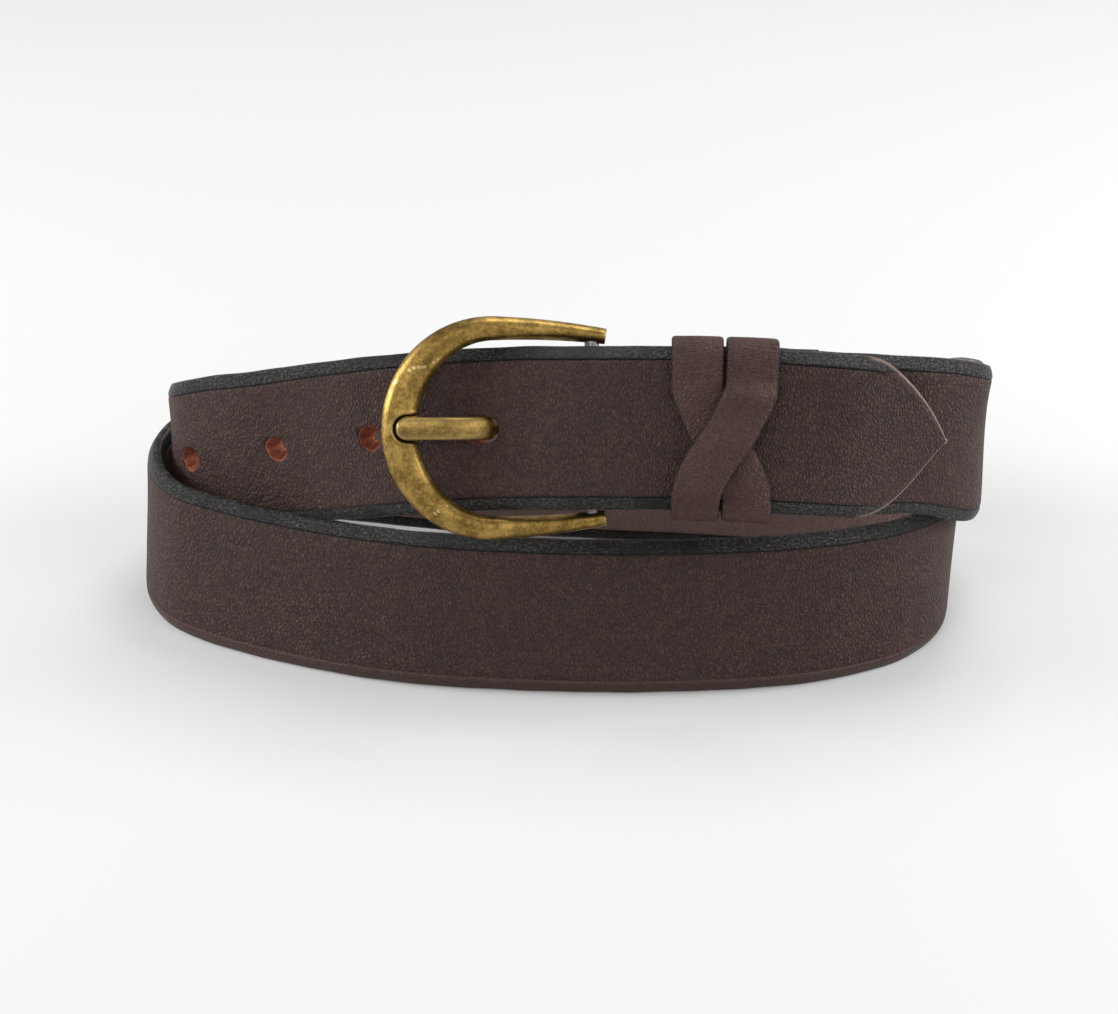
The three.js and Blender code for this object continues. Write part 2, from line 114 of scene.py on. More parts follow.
floor_half = 4.0
floor_corners = [(-1, -1), (1, -1), (1, 1), (-1, 1)]
floor = mesh_piece(
    "floor", [(x * floor_half, y * floor_half, 0) for x, y in floor_corners], [(0, 1, 2, 3)]
)
paper, _, _, paper_shader = new_material("pale_paper")
paper_shader.inputs["Base Color"].default_value = (0.55, 0.55, 0.55, 1)
paper_shader.inputs["Emission Color"].default_value = (1, 1, 1, 1)
paper_shader.inputs["Emission Strength"].default_value = 0.12
paper_shader.inputs["Roughness"].default_value = 0.9
paper_shader.inputs["Specular IOR Level"].default_value = 0.1
floor.data.materials.append(paper)


# ------------------------------------------------------------------ strap
# One strip of full-grain cowhide, 35 mm wide and 4 mm thick, with both edges bevelled, dyed
# black and burnished. One end is skived and folded round the buckle's bar; the other is cut
# to a point and punched with five holes.
MM = 0.001
strap_width = 35.0
strap_thickness = 4.0
strap_half = strap_width / 2
bevel_width = 2.8
bevel_depth = 1.4
coil_width = 190.0
coil_depth = 94.0
fold_thickness = 2.4
fold_slack = 0.1
skive_end = 16.0
tab_margin = 4.0
tab_skive = 6.0
tab_end_share = 0.6
tip_reach = 76.0
tip_length = 18.7
tip_curve = 1.8
tip_thickness = 1.5
tip_skive = 24.0
billet_from = 35.0
billet_onto = 6.0
hole_count = 5
hole_pitch = 25.0
hole_diameter = 5.4
bar_to_hole = 23.0
bar_diameter = 3.2
keeper_width = 10.6
keeper_thickness = 1.8
keeper_place = 28.0
strand_room = 0.35
cross_drop = 3.0
thread_diameter = 0.9
row_space = 1.2
swell_ramp = 3.0
keeper_back = 3.0
keeper_ahead = 1.0
gap = 0.3
loose_gap = 0.45

layer = strap_thickness + gap
bar_radius = bar_diameter / 2
fold_inner = bar_radius + gap + fold_slack
bar_level = strap_thickness / 2 - fold_thickness - fold_inner
keeper_sway = keeper_width / 2 + strand_room
keeper_half = keeper_sway + keeper_width / 2
swell_start = keeper_place - keeper_half - keeper_back
swell_end = keeper_place + keeper_half + keeper_ahead
near_row = swell_start - swell_ramp - row_space
far_row = swell_end + swell_ramp + row_space
tab_length = far_row + tab_margin
tab_level = -strap_thickness / 2 - gap - fold_thickness / 2
pocket_level = tab_level - keeper_thickness - gap
billet_top = layer + strap_thickness / 2

# Rows of the coil's lay: x and y of the face that looks at the other turn, side of that line
# that the strap lies on, height of the bottom edge in strap widths, lean inwards in degrees.
lay = np.array([
    [7.2, -28.3, -0.5, 1.2, 27], [34, -29, -0.5, 1.205, 26], [52.5, -29, -0.35, 1.18, 23],
    [68, -26.3, 0, 1.12, 17], [81.2, -21.8, 0.25, 1.035, 9], [88.9, -14.5, 0.5, 0.88, 3],
    [91.4, -3.2, 0.5, 0.72, 0], [91.5, 9, 0.5, 0.55, -2], [87.6, 21.5, 0.5, 0.35, -4],
    [77, 34.8, 0.5, 0.18, -7], [51.4, 44.1, 0.5, 0.06, -10], [15.9, 48, 0.5, 0.012, -10],
    [-23.8, 47, 0.5, 0, -10], [-59.2, 40.7, 0.5, 0, -8], [-82.6, 26.1, 0.5, 0, -3],
    [-91, 10.8, 0.5, 0, 2], [-90.2, -1.9, 0.5, 0, 6], [-84.8, -11, 0.5, 0, 9],
    [-75.2, -17.3, 0.5, 0, 12], [-55.9, -25.5, 0.5, 0, 13.5], [-32.2, -32, 0.5, 0, 14.5],
    [0, -35.4, 0.5, 0, 14], [25, -35.6, 0.5, 0, 13.5], [49.2, -34, 0.4, 0, 12],
    [64, -32.2, 0, 0, 9], [77, -28.2, -0.4, 0, 5], [86.3, -19.3, -0.5, 0, 1],
    [89.8, -7.3, -0.5, 0, -2], [88.2, 6.3, -0.5, 0, -4], [79, 15.6, -0.5, 0, -7],
    [62.5, 22.6, -0.5, 0, -9], [37.2, 26.8, -0.5, 0, -10], [8, 29.2, -0.5, 0.008, -10],
    [-24.2, 31, -0.5, 0.03, -9], [-52.6, 31.2, -0.5, 0.11, -7], [-74.3, 27, -0.5, 0.2, -3],
    [-86, 18.9, -0.5, 0.29, 1], [-89, 9.8, -0.5, 0.375, 4], [-86.2, 1.6, -0.5, 0.5, 8],
    [-75.7, -7, -0.5, 0.675, 10], [-61.6, -13.8, -0.5, 0.815, 11],
    [-46.2, -21.7, -0.5, 0.99, 17], [-31.2, -26.5, -0.5, 1.125, 25],
    [-12, -28, -0.5, 1.19, 27],
])


def smooth(value, start, end):
    """Rises from 0 at start to 1 at end as 3t^2 - 2t^3."""
    t = np.clip((value - start) / (end - start), 0, 1)
    return t * t * (3 - 2 * t)


def mix(a, b, share):
    """a where share is 0, b where share is 1."""
    return a + (b - a) * share


def unit(vectors):
    """Vectors (n, 3) divided by their lengths."""
    return vectors / np.linalg.norm(vectors, axis=-1, keepdims=True)


def spline(points, per_span, closed, power):
    """Catmull-Rom curve through points (n, k), per_span samples to a span. Knots lie the
    chord length to that power apart: 0.5 is centripetal, 0 is uniform."""
    if closed:
        padded = np.vstack([points[-1:], points, points[:2]])
    else:
        padded = np.vstack([2 * points[0] - points[1], points, 2 * points[-1] - points[-2]])
    spans = len(padded) - 3
    p0, p1, p2, p3 = (padded[k : k + spans][:, None, :] for k in range(4))
    step = [
        np.maximum(np.linalg.norm(b - a, axis=-1, keepdims=True) ** power, 1e-9)
        for a, b in ((p0, p1), (p1, p2), (p2, p3))
    ]
    start = ((p1 - p0) / step[0] - (p2 - p0) / (step[0] + step[1]) + (p2 - p1) / step[1]) * step[1]
    stop = ((p2 - p1) / step[1] - (p3 - p1) / (step[1] + step[2]) + (p3 - p2) / step[2]) * step[1]
    t = (np.arange(per_span) / per_span)[None, :, None]
    curve = (
        p1
        + start * t
        + (3 * (p2 - p1) - 2 * start - stop) * t**2
        + (2 * (p1 - p2) + start + stop) * t**3
    ).reshape(-1, points.shape[1])
    return curve if closed else np.vstack([curve, points[-1:]])


def lay_table():
    """Samples of the lay: arc length, place, and the directions along, up and outward."""
    px = lay[:, 0] * coil_width / 190.0
    py = lay[:, 1] * coil_depth / 94.0
    away = np.stack([px / coil_width**2, py / coil_depth**2], 1)
    away /= np.linalg.norm(away, axis=1, keepdims=True)
    lean = np.radians(lay[:, 4])
    edge = strap_thickness / 2 - bevel_depth
    height = lay[:, 3] * strap_width + strap_half * np.cos(lean) + edge * np.sin(np.abs(lean))
    shift = lay[:, 2] * strap_thickness
    knots = np.stack([px + away[:, 0] * shift, py + away[:, 1] * shift, height], 1)
    here = spline(knots, 24, True, 0.5)
    leans = spline(lean[:, None], 24, True, 0.0)[:, 0]
    along = unit(np.roll(here, -1, 0) - np.roll(here, 1, 0))
    out = unit(np.stack([along[:, 1], -along[:, 0], np.zeros(len(along))], 1))
    up = unit(np.cross(out, along)) * np.cos(leans)[:, None] - out * np.sin(leans)[:, None]
    outward = np.cross(along, up)
    rows = np.hstack([here, along, up, outward])
    rows = np.vstack([rows, rows[:1]])
    steps = np.linalg.norm(np.diff(rows[:, :3], axis=0), axis=1)
    return np.concatenate([[0], np.cumsum(steps)]), rows


lay_s, lay_rows = lay_table()
lay_length = lay_s[-1]


def lay_at(s):
    """Place, along, up and outward of the lay at distances s, in millimetres."""
    wrapped = np.mod(s, lay_length)
    row = np.stack([np.interp(wrapped, lay_s, lay_rows[:, k]) for k in range(12)], -1)
    return row[..., :3], unit(row[..., 3:6]), unit(row[..., 6:9]), unit(row[..., 9:])


# The lay is worked out about its own middle; the bar's hinge says where that is in the part.
bar_here, bar_along, bar_up, bar_outward = (v[0] for v in lay_at(np.array([0.0])))
hinge = next(j for j in frame["joints"] if j["name"] == "frame_hinge")
part_shift = np.array(hinge["pos_m"]) / MM - (bar_here + bar_outward * bar_level)


def place(s, n, w):
    """Point at distance s along the lay, moved n outward and w up, in metres."""
    here, _, up, outward = lay_at(s)
    return (here + outward * n[..., None] + up * w[..., None] + part_shift) * MM


def buckle_place(x, y, z):
    """Point x along, y across and z out of the strap at the bar, in metres."""
    local = x[..., None] * bar_along + y[..., None] * bar_up + z[..., None] * bar_outward
    return (bar_here + local + part_shift) * MM


def grid_faces(rows, columns, closed_rows=False):
    """Quads of a tube of rows rings of columns points each, with fans on both ends unless
    the last ring joins the first. Rings run anticlockwise seen from the far end."""
    spans = rows if closed_rows else rows - 1
    i, j = np.meshgrid(np.arange(spans), np.arange(columns), indexing="ij")
    k = (j + 1) % columns
    n = (i + 1) % rows
    quads = np.stack([i * columns + j, i * columns + k, n * columns + k, n * columns + j], -1)
    faces = quads.reshape(-1, 4).tolist()
    if not closed_rows:
        last = (rows - 1) * columns
        faces.append(list(range(columns - 1, -1, -1)))
        faces.append(list(range(last, last + columns)))
    return faces


def tube_piece(name, points, closed=False):
    """A mesh over points (rows, columns, 3)."""
    rows, columns = points.shape[:2]
    mesh = bpy.data.meshes.new(name)
    mesh.from_pydata(points.reshape(-1, 3).tolist(), [], grid_faces(rows, columns, closed))
    mesh.update()
    mesh.polygons.foreach_set("use_smooth", np.full(len(mesh.polygons), True))
    piece = bpy.data.objects.new(name, mesh)
    bpy.context.scene.collection.objects.link(piece)
    return piece


def write_uv(piece, name, u, v):
    """A UV map that gives each vertex the pair (u, v), one value per vertex."""
    mesh = piece.data
    corner = np.zeros(len(mesh.loops), int)
    mesh.loops.foreach_get("vertex_index", corner)
    pair = np.stack([np.ravel(u)[corner], np.ravel(v)[corner]], 1)
    layer_map = mesh.uv_layers.new(name=name)
    layer_map.data.foreach_set("uv", pair.astype(np.float32).ravel())


def strap_section():
    """Section of the strap as (share of half width past the bevel, height share) pairs:
    a flat face, a pressed crease, a convex bevel and a rounded edge, mirrored four ways."""
    inner = strap_half - bevel_width
    w = np.array([0, 3, 6, 9, 11.5, 13.4, 13.9, inner - 0.35, inner - 0.1, inner + 0.15,
                  inner + 0.5, inner + 1.1, inner + 1.8, inner + 2.3, inner + 2.62, strap_half])
    n = np.array([1, 1, 1, 1, 1, 1, 0.995, 0.955, 0.86, 0.93, 0.93, 0.83, 0.66, 0.5, 0.38, 0.16])
    front = np.concatenate([np.stack([w, n], 1)[::-1], np.stack([-w, n], 1)[1:]])
    back = np.stack([front[:, 0], -front[:, 1]], 1)[::-1]
    return np.concatenate([front, back])


def strap_profile():
    """Along the whole strap, in rows: s, level n, turn of the section, half width and
    thickness. It runs from the tab's end, round the bar, twice round and out to the point."""
    fold_centre = fold_inner + fold_thickness / 2
    s_tab = np.linspace(tab_length, 1.2, 90)
    pocket = smooth(s_tab, swell_start - swell_ramp, swell_start)
    pocket = pocket * (1 - smooth(s_tab, swell_end, swell_end + swell_ramp))
    level = mix(tab_level, pocket_level, pocket)
    n_tab = mix(bar_level - fold_centre, level, smooth(s_tab, 1, near_row - 1))
    thin = mix(tab_end_share, 1, smooth(tab_length - s_tab, 0, tab_skive))
    tab = np.stack([s_tab, n_tab, np.full(90, np.pi), np.full(90, strap_half),
                    fold_thickness * thin], 1)
    angle = np.linspace(0, np.pi, 24)
    fold = np.stack([-np.sin(angle) * fold_centre, bar_level - np.cos(angle) * fold_centre,
                     np.pi - angle, np.full(24, strap_half), np.full(24, fold_thickness)], 1)
    end = lay_length + tip_reach
    s_run = np.arange(2, end - tip_length, 1.15)
    thick = np.minimum(
        mix(fold_thickness, strap_thickness, smooth(s_run, 1, skive_end)),
        mix(tip_thickness, strap_thickness, smooth(end - s_run, 0, tip_skive)),
    )
    rest = strap_thickness / 2 - thick / 2
    billet = layer * smooth(s_run - lay_length, -billet_from, -billet_onto)
    n_run = np.where(s_run < lay_length / 2, rest, billet - rest)
    run = np.stack([s_run, n_run, 0 * s_run, 0 * s_run + strap_half, thick], 1)
    part = np.linspace(0, 1, 40)
    s_tip = end - tip_length * (1 - part)
    thick = mix(tip_thickness, strap_thickness, smooth(end - s_tip, 0, tip_skive))
    pointed = np.maximum(1 - part**tip_curve, 0.03)
    tip = np.stack([s_tip, layer - strap_thickness / 2 + thick / 2, 0 * part,
                    strap_half * pointed, thick], 1)
    return np.vstack([tab, fold, run, tip])


profile = strap_profile()
section = strap_section()
run_s, run_n, run_turn, run_half, run_thick = (profile[:, k][:, None] for k in range(5))
bevel = np.minimum(bevel_width, run_half * 0.5)
inner_half = strap_half - bevel_width
past = np.clip(np.abs(section[:, 0]) - inner_half, 0, None)
flat = np.clip(np.abs(section[:, 0]), 0, inner_half)
strap_w = np.sign(section[:, 0]) * (flat / inner_half * (run_half - bevel)
                                    + past / bevel_width * bevel)
strap_h = section[:, 1] * run_thick / 2
travel = np.concatenate([[0], np.cumsum(np.hypot(
    np.diff(profile[:, 0]), np.diff(profile[:, 1])))])[:, None]
# Hide is never quite flat: long shallow waves across the face, and a restless cut edge.
wave = 0.045 * np.sin(travel / 9.7 + strap_w / 6.1) + 0.03 * np.sin(travel / 4.3 - strap_w / 3.7)
ragged = 0.04 * np.sin(travel / 1.9 + 2 * np.sign(strap_w)) + 0.03 * np.sin(travel / 3.1)
face_share = 1 - smooth(np.abs(strap_w), inner_half - 2, inner_half)
wave = wave * face_share
edge_share = smooth(np.abs(strap_w), inner_half + 1, strap_half)
strap_h = strap_h + np.sign(strap_h) * wave
strap_w = strap_w + np.sign(strap_w) * ragged * edge_share
strap_points = place(
    run_s - np.sin(run_turn) * strap_h, run_n + np.cos(run_turn) * strap_h, strap_w
)
strap = tube_piece("belt_strap", strap_points)
write_uv(strap, "lay", (travel + 0 * strap_w) * MM, strap_w * MM)
write_uv(strap, "depth", strap_h * MM, (run_half + 0 * strap_w) * MM)


def punch(name, s, n_from, n_to, radius_front, radius_back, stretch=0.0, slant=0.0):
    """A round cutter at s along the strap, flared towards the front: its radius falls from
    radius_front to radius_back as the 1.4th power of the depth. stretch lengthens it, and
    slant is how far it leans along the strap from front to back."""
    depth = np.linspace(0, 1, 9)[:, None]
    angle = np.linspace(0, 2 * np.pi, 40, endpoint=False)[None, :]
    radius = mix(radius_front, radius_back, depth**1.4)
    rim = 1 + 0.02 * np.sin(3 * angle + s) + 0.015 * np.sin(7 * angle + 2 * s)
    ds = radius * rim * np.cos(angle) + np.sign(np.cos(angle)) * stretch / 2 + slant * depth
    dw = radius * rim * np.sin(angle)
    here, along, up, outward = (v[0] for v in lay_at(np.array([s])))
    level = mix(n_to, n_from, depth) + 0 * angle
    local = ds[..., None] * along + dw[..., None] * up + level[..., None] * outward
    points = (here + local + part_shift) * MM
    return tube_piece(name, points[::-1])


hole_radius = hole_diameter / 2 + 0.2
closed_radius = 0.25
prong_hole_back = 3.0
prong_hole_stretch = 3.8
prong_hole_slant = 8.7
tongue_width = 5.0
eye_wall = 2.2
slot_room = 5.3
slot_slack = 0.2
cutters = []
for number in range(hole_count):
    at_s = lay_length - bar_to_hole - number * hole_pitch
    billet_here = layer * float(smooth(at_s - lay_length, -billet_from, -billet_onto))
    if number == 0:
        # The prong pulls its hole long, and slants through it from the front to the back.
        cutters.append(punch(
            "hole_cutter_0", at_s - prong_hole_back, billet_here - 4.6, billet_here + 4.2,
            hole_radius, hole_radius, stretch=prong_hole_stretch, slant=prong_hole_slant,
        ))
    else:
        cutters.append(punch(
            f"hole_cutter_{number}", at_s, billet_here - 3.4, billet_here + 2.35,
            hole_radius, closed_radius,
        ))
slot_half = tongue_width / 2 + gap + slot_slack
eye_radius = bar_radius + gap + eye_wall
slot_reach = eye_radius + slot_room / 2
slot_angle = np.linspace(0, 2 * np.pi, 32, endpoint=False)[None, :]
slot_x = np.sign(np.cos(slot_angle)) * np.abs(np.cos(slot_angle)) ** 0.4 * slot_reach
slot_y = np.sign(np.sin(slot_angle)) * np.abs(np.sin(slot_angle)) ** 0.4 * slot_half
slot_z = np.linspace(pocket_level - strap_thickness, strap_thickness / 2 + gap / 2, 2)[:, None]
slot_cutter = tube_piece("slot_cutter", buckle_place(
    slot_x + 0 * slot_z, slot_y + 0 * slot_z, slot_z + 0 * slot_x))
cutters.append(slot_cutter)


def join(pieces, name):
    """One object that holds all the pieces' meshes."""
    points, faces, start = [], [], 0
    for piece in pieces:
        mesh = piece.data
        co = np.zeros(len(mesh.vertices) * 3)
        mesh.vertices.foreach_get("co", co)
        points.append(co.reshape(-1, 3))
        faces += [[v + start for v in p.vertices] for p in mesh.polygons]
        start += len(mesh.vertices)
        bpy.data.objects.remove(piece)
    joined = bpy.data.meshes.new(name)
    joined.from_pydata(np.vstack(points).tolist(), [], faces)
    joined.update()
    piece = bpy.data.objects.new(name, joined)
    bpy.context.scene.collection.objects.link(piece)
    return piece


def cut(piece, cutter):
    """Takes the cutter's solid out of piece. The cut walls keep the cutter's material."""
    modifier = piece.modifiers.new("cut", "BOOLEAN")
    modifier.operation = "DIFFERENCE"
    modifier.solver = "EXACT"
    modifier.material_mode = "TRANSFER"
    modifier.object = cutter
    depsgraph = bpy.context.evaluated_depsgraph_get()
    result = bpy.data.meshes.new_from_object(piece.evaluated_get(depsgraph))
    piece.modifiers.clear()
    old = piece.data
    piece.data = result
    bpy.data.meshes.remove(old)
    bpy.data.objects.remove(cutter)


# ---- grain, wear and fibre, shared by every leather piece
def new_group(name, inputs, outputs):
    """A shader node group with float or colour sockets; gives its tree and end nodes."""
    group = bpy.data.node_groups.new(name, "ShaderNodeTree")
    for label, kind, value in inputs:
        socket = group.interface.new_socket(label, in_out="INPUT", socket_type=kind)
        if value is not None:
            socket.default_value = value
    for label, kind in outputs:
        group.interface.new_socket(label, in_out="OUTPUT", socket_type=kind)
    return group, group.nodes.new("NodeGroupInput"), group.nodes.new("NodeGroupOutput")


def math_node(tree, operation, a, b=0.5, clamp=False):
    """A Math node; a and b are sockets or numbers."""
    node = tree.nodes.new("ShaderNodeMath")
    node.operation = operation
    node.use_clamp = clamp
    for socket, value in zip(node.inputs, (a, b)):
        if hasattr(value, "is_output"):
            tree.links.new(value, socket)
        else:
            socket.default_value = value
    return node.outputs[0]


def ramp(tree, value, low, high):
    """Value carried smoothly from 0 at low to 1 at high."""
    node = tree.nodes.new("ShaderNodeMapRange")
    node.interpolation_type = "SMOOTHSTEP"
    node.inputs["From Min"].default_value = low
    node.inputs["From Max"].default_value = high
    tree.links.new(value, node.inputs["Value"])
    return node.outputs["Result"]


def mix_colour(tree, share, a, b):
    """Colour a where share is 0, b where it is 1; each a socket or a colour."""
    node = tree.nodes.new("ShaderNodeMix")
    node.data_type = "RGBA"
    if hasattr(share, "is_output"):
        tree.links.new(share, node.inputs["Factor"])
    else:
        node.inputs["Factor"].default_value = share
    for socket, value in zip((node.inputs[6], node.inputs[7]), (a, b)):
        if hasattr(value, "is_output"):
            tree.links.new(value, socket)
        else:
            socket.default_value = (*value, 1)
    return node.outputs[2]


def noise(tree, vector, scale, detail=4.0, roughness=0.55):
    """Noise over the vector, from 0 to 1."""
    node = tree.nodes.new("ShaderNodeTexNoise")
    node.inputs["Scale"].default_value = scale
    node.inputs["Detail"].default_value = detail
    node.inputs["Roughness"].default_value = roughness
    tree.links.new(vector, node.inputs["Vector"])
    return node.outputs["Fac"]


def stretch(tree, vector, factors):
    """The vector scaled along its three axes."""
    node = tree.nodes.new("ShaderNodeMapping")
    node.inputs["Scale"].default_value = factors
    tree.links.new(vector, node.inputs["Vector"])
    return node.outputs["Vector"]


def leather_grain():
    """Pebbled grain: cells about a millimetre long, longer across the strap and nudged by
    noise, with fine pores. Gives a height, a mask of short pale strokes, and a blotch."""
    group, start, end = new_group(
        "leather_grain", [("Vector", "NodeSocketVector", None)],
        [("Height", "NodeSocketFloat"), ("Flecks", "NodeSocketFloat"),
         ("Blotch", "NodeSocketFloat")],
    )
    vector = start.outputs["Vector"]
    warp = group.nodes.new("ShaderNodeTexNoise")
    warp.inputs["Scale"].default_value = 700
    group.links.new(vector, warp.inputs["Vector"])
    shift = group.nodes.new("ShaderNodeVectorMath")
    shift.operation = "MULTIPLY_ADD"
    shift.inputs[1].default_value = (0.0006, 0.0006, 0.0)
    group.links.new(warp.outputs["Color"], shift.inputs[0])
    group.links.new(vector, shift.inputs[2])
    warped = stretch(group, shift.outputs[0], (1.0, 0.55, 1.0))
    cells = group.nodes.new("ShaderNodeTexVoronoi")
    cells.feature = "DISTANCE_TO_EDGE"
    cells.inputs["Scale"].default_value = 1550
    group.links.new(warped, cells.inputs["Vector"])
    edges = ramp(group, cells.outputs["Distance"], 0.0, 0.30)
    pores = noise(group, vector, 2400, 4.0, 0.65)
    slow = noise(group, vector, 380, 5.0, 0.65)
    height = math_node(group, "ADD", math_node(group, "MULTIPLY", edges, 0.55),
                       math_node(group, "MULTIPLY", pores, 0.65))
    height = math_node(group, "ADD", height, math_node(group, "MULTIPLY", slow, 0.8))
    group.links.new(height, end.inputs["Height"])
    strokes = noise(group, stretch(group, shift.outputs[0], (1.0, 0.40, 1.0)), 1700, 5.0, 0.65)
    patches = noise(group, vector, 260, 3.0, 0.5)
    shown = math_node(group, "MULTIPLY", ramp(group, strokes, 0.53, 0.66),
                      ramp(group, patches, 0.30, 0.62))
    group.links.new(shown, end.inputs["Flecks"])
    group.links.new(noise(group, vector, 95, 8.0, 0.68), end.inputs["Blotch"])
    return group


def place_group(tree, group, vector):
    """The group as a node of this material, fed with the vector."""
    node = tree.nodes.new("ShaderNodeGroup")
    node.node_tree = group
    tree.links.new(vector, node.inputs["Vector"])
    return node


def bump(tree, height, strength, distance):
    """The normal of a surface raised by height."""
    node = tree.nodes.new("ShaderNodeBump")
    node.inputs["Strength"].default_value = strength
    node.inputs["Distance"].default_value = distance
    tree.links.new(height, node.inputs["Height"])
    return node.outputs["Normal"]


grain_group = leather_grain()
hide_brown = (0.046, 0.0200, 0.0158)
hide_light = (0.066, 0.0315, 0.0250)
hide_fleck = (0.150, 0.098, 0.086)
# Painted shade for the grain's valleys.
grain_valley_shade = (0.021, 0.0092, 0.0074)
edge_black = (0.0035, 0.0031, 0.0031)
edge_grey_sheen = (0.105, 0.096, 0.092)
# The flesh side's own pale tone, lifted further by painted light; it also paints the highlight along
# the point's edges.
flesh_tone_and_painted_light = (0.270, 0.180, 0.160)
flesh_rim = (0.46, 0.36, 0.34)


def uv_vector(tree, name):
    """The vector of a named UV map."""
    node = tree.nodes.new("ShaderNodeUVMap")
    node.uv_map = name
    return node.outputs["UV"]


def split_pair(tree, vector):
    """The first two parts of a vector."""
    node = tree.nodes.new("ShaderNodeSeparateXYZ")
    tree.links.new(vector, node.inputs["Vector"])
    return node.outputs["X"], node.outputs["Y"]


def strap_leather():
    """Grain leather on both faces, with the burnished black bevels past the crease."""
    material, _, links, shader = new_material("strap_leather")
    tree = material.node_tree
    lay_uv = uv_vector(tree, "lay")
    along, across = split_pair(tree, lay_uv)
    depth, half_here = split_pair(tree, uv_vector(tree, "depth"))
    from_middle = math_node(tree, "ABSOLUTE", across)
    grain = place_group(tree, grain_group, lay_uv)
    body = mix_colour(tree, ramp(tree, grain.outputs["Blotch"], 0.35, 0.7), hide_brown, hide_light)
    # Painted shade: the low places of the grain are darkened towards a deep brown and the ridges
    # kept lighter, as if lit across the grain.
    body = mix_colour(tree, ramp(tree, grain.outputs["Height"], 0.62, 1.18), grain_valley_shade, body)
    body = mix_colour(tree, math_node(tree, "MULTIPLY", grain.outputs["Flecks"], 0.34),
                      body, hide_fleck)
    # The back is the flesh side, paler in its own right and painted lighter still, as painted light
    # where it lies shaded inside the coil.
    back = math_node(tree, "LESS_THAN", depth, -0.0004)
    body = mix_colour(tree, math_node(tree, "MULTIPLY", back, 0.85), body, flesh_tone_and_painted_light)
    bevel_mask = ramp(tree, from_middle, (inner_half - 0.12) * MM, (inner_half + 0.10) * MM)
    # The bevels: black dye with grey fibre tufts; the grey also stands in for a painted highlight on
    # the fibres.
    streaks = noise(tree, stretch(tree, lay_uv, (0.55, 1.0, 1.0)), 2300, 7.0, 0.78)
    fuzzy = noise(tree, lay_uv, 95, 3.0, 0.5)
    tufts_and_sheen = math_node(tree, "MULTIPLY", ramp(tree, streaks, 0.47, 0.62),
                      ramp(tree, fuzzy, 0.25, 0.60))
    edge_dye_and_sheen = mix_colour(tree, tufts_and_sheen, edge_black, edge_grey_sheen)
    # On the first turn the lower bevel is brown like the face instead of black.
    first_turn = math_node(tree, "SUBTRACT", ramp(
        tree, along, (lay_length * 0.33) * MM, (lay_length * 0.38) * MM), ramp(
        tree, along, (lay_length * 0.66) * MM, (lay_length * 0.74) * MM))
    lower = math_node(tree, "LESS_THAN", across, 0.0)
    first_turn_lower_edge = math_node(tree, "MULTIPLY", first_turn, lower)
    edge_dye_and_sheen = mix_colour(tree, math_node(tree, "MULTIPLY", first_turn_lower_edge, 0.88), edge_dye_and_sheen, hide_light)
    colour = mix_colour(tree, bevel_mask, body, edge_dye_and_sheen)
    # A dark line along the crease; on the first turn's lower edge it is painted pale instead, a
    # painted highlight along the top of that bevel.
    crease = math_node(tree, "SUBTRACT", 1.0, ramp(tree, math_node(
        tree, "ABSOLUTE", math_node(tree, "SUBTRACT", from_middle, (inner_half - 0.05) * MM)),
        0.0, 0.00042))
    colour = mix_colour(tree, math_node(tree, "MULTIPLY", crease, 0.85), colour,
                        mix_colour(tree, first_turn_lower_edge, edge_black, (0.120, 0.072, 0.062)))
    # A pale line painted along the point's outline on the front: the thin cut edge's own paler tone,
    # and a painted highlight where it catches the light.
    point_start = float(travel.max()) - tip_length
    point_edge_highlight = math_node(tree, "MULTIPLY", ramp(
        tree, along, (point_start - 1) * MM, (point_start + 1.5) * MM), ramp(
        tree, math_node(tree, "SUBTRACT", from_middle, half_here), -0.00085, -0.00045))
    point_edge_highlight = math_node(tree, "MULTIPLY", point_edge_highlight, math_node(tree, "GREATER_THAN", depth, 0.0))
    colour = mix_colour(tree, math_node(tree, "MULTIPLY", point_edge_highlight, 0.8), colour, flesh_tone_and_painted_light)
    rim = math_node(tree, "MULTIPLY", ramp(
        tree, from_middle, (strap_half - 0.75) * MM, (strap_half - 0.35) * MM), math_node(
        tree, "SUBTRACT", ramp(tree, depth, -0.00125, -0.00100),
        ramp(tree, depth, -0.00080, -0.00055)))
    rim = math_node(tree, "MULTIPLY", rim, ramp(tree, streaks, 0.36, 0.60))
    colour = mix_colour(tree, math_node(tree, "MULTIPLY", rim, 0.8), colour, flesh_rim)
    links.new(colour, shader.inputs["Base Color"])
    rough = mix_colour(tree, bevel_mask, (0.60, 0.60, 0.60), (0.40, 0.40, 0.40))
    rough = math_node(tree, "ADD", rough, math_node(
        tree, "MULTIPLY", math_node(tree, "SUBTRACT", grain.outputs["Blotch"], 0.5), 0.18))
    links.new(rough, shader.inputs["Roughness"])
    height = math_node(tree, "ADD", grain.outputs["Height"],
                       math_node(tree, "MULTIPLY", math_node(
                           tree, "MULTIPLY", streaks, bevel_mask), 1.5))
    links.new(bump(tree, height, 1.0, 0.00040), shader.inputs["Normal"])
    shader.inputs["Specular IOR Level"].default_value = 0.30
    return material


